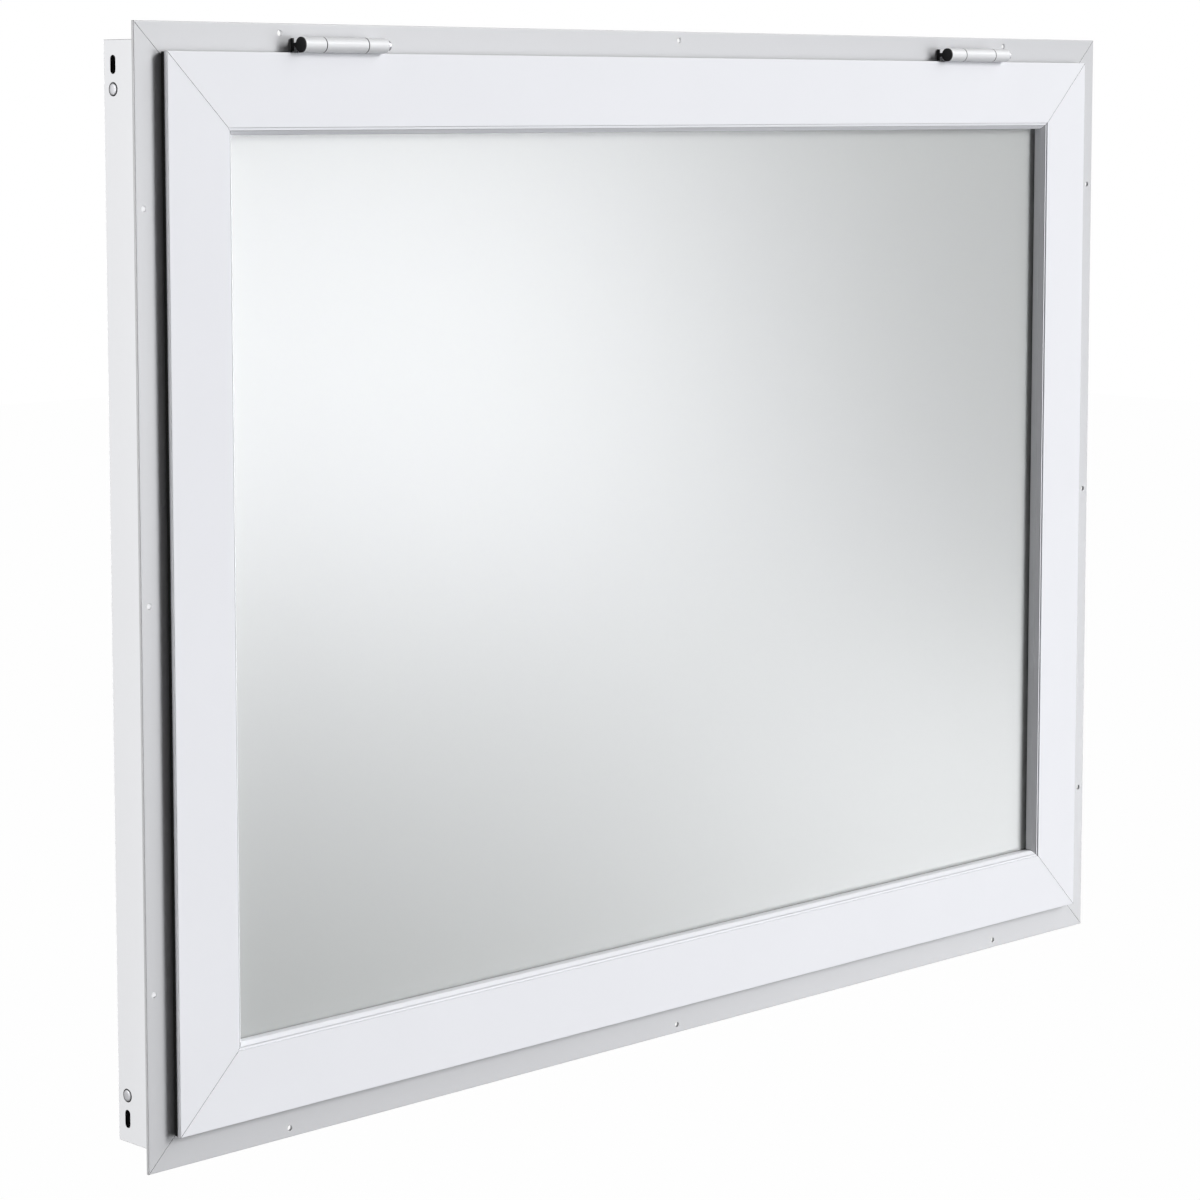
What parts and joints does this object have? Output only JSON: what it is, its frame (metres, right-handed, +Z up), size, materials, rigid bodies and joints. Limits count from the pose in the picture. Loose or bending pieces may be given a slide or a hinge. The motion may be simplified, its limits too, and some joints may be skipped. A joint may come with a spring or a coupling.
{
  "type": "concession window",
  "caption": "White aluminium concession window: a flanged wall frame closed by a top-hung awning door with a satin glass pane, which swings up and out on barrel hinges.",
  "frame": {"origin": "middle of the sill on the rear face of the flange, level with the underside of the frame, where the wall's outer face meets the bottom of its cut-out", "axes": "+Z up, +Y from the wall's outer face into the building, +X to the right as seen from outside"},
  "size_m": [1.2482, 0.0795, 0.9434],
  "materials": {
    "white_coat": "white powder coat, satin",
    "mill_aluminium": "mill finish",
    "satin_glass": "satin, obscured",
    "black_rubber": "matt",
    "black_plastic": "matt moulded",
    "pin_steel": "bright"
  },
  "bodies": {
    "wall_frame": {"frame_head": "white_coat", "frame_sill": "white_coat", "frame_left_jamb": "white_coat", "frame_right_jamb": "white_coat", "frame_corner_keys": "mill_aluminium", "left_hinge_frame_leaf": "white_coat", "right_hinge_frame_leaf": "white_coat", "left_hinge_end_cap": "black_plastic", "right_hinge_end_cap": "black_plastic", "left_hinge_pin": "pin_steel", "right_hinge_pin": "pin_steel"},
    "awning_door": {"door_top_rail": "white_coat", "door_bottom_rail": "white_coat", "door_left_stile": "white_coat", "door_right_stile": "white_coat", "glazing_bead_top": "white_coat", "glazing_bead_bottom": "white_coat", "glazing_bead_left": "white_coat", "glazing_bead_right": "white_coat", "left_hinge_door_leaf": "white_coat", "right_hinge_door_leaf": "white_coat", "door_corner_keys": "mill_aluminium", "glass_pane": "satin_glass", "front_glazing_gasket": "black_rubber", "rear_glazing_gasket": "black_rubber", "weather_seal": "black_rubber"}
  },
  "joints": [
    {"name": "door_hinge", "type": "hinge", "parent": "wall_frame", "child": "awning_door", "pos_m": [0, -0.0155, 0.9113], "axis": [-1, 0, 0], "range_deg": [0, 85]}
  ]
}
